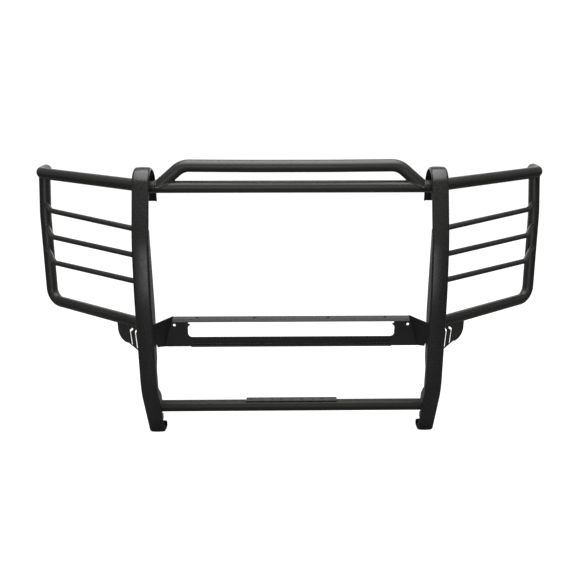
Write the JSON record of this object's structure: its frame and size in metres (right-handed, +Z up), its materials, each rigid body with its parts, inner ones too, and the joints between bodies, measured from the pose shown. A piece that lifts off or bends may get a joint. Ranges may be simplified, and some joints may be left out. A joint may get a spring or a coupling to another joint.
{
  "type": "front grille guard",
  "caption": "Welded front grille guard with curled channel uprights, crossbars, a bump bar, a light tray with a window, a step strip and swept headlight wings with slats.",
  "frame": {"origin": "on the floor under the middle of the guard: X centre, depth centre, underside of the feet", "axes": "+X to the right for someone who faces the front of the guard, +Y back towards the vehicle, +Z up"},
  "size_m": [1.9638, 0.5048, 1.0051],
  "materials": {
    "tube": "satin black fine-texture powder coat",
    "slat": "satin black fine-texture powder coat",
    "strip": "satin black fine-texture powder coat",
    "plate": "satin black fine-texture powder coat",
    "sheet": "satin black fine-texture powder coat",
    "trim": "satin black fine-texture powder coat"
  },
  "bodies": {
    "root": {"top_crossbar": "tube", "bump_bar": "tube", "lower_crossbar": "tube", "step_strip": "trim", "light_tray": "sheet", "tray_end_right": "sheet", "upright_right": "strip", "inner_plate_right": "plate", "outer_plate_right": "plate", "wing_top_tube_right": "tube", "wing_outer_tube_right": "tube", "wing_gusset_right": "plate", "slat_1_right": "slat", "slat_2_right": "slat", "slat_3_right": "slat", "tray_end_left": "sheet", "upright_left": "strip", "inner_plate_left": "plate", "outer_plate_left": "plate", "wing_top_tube_left": "tube", "wing_outer_tube_left": "tube", "wing_gusset_left": "plate", "slat_1_left": "slat", "slat_2_left": "slat", "slat_3_left": "slat"}
  },
  "joints": []
}
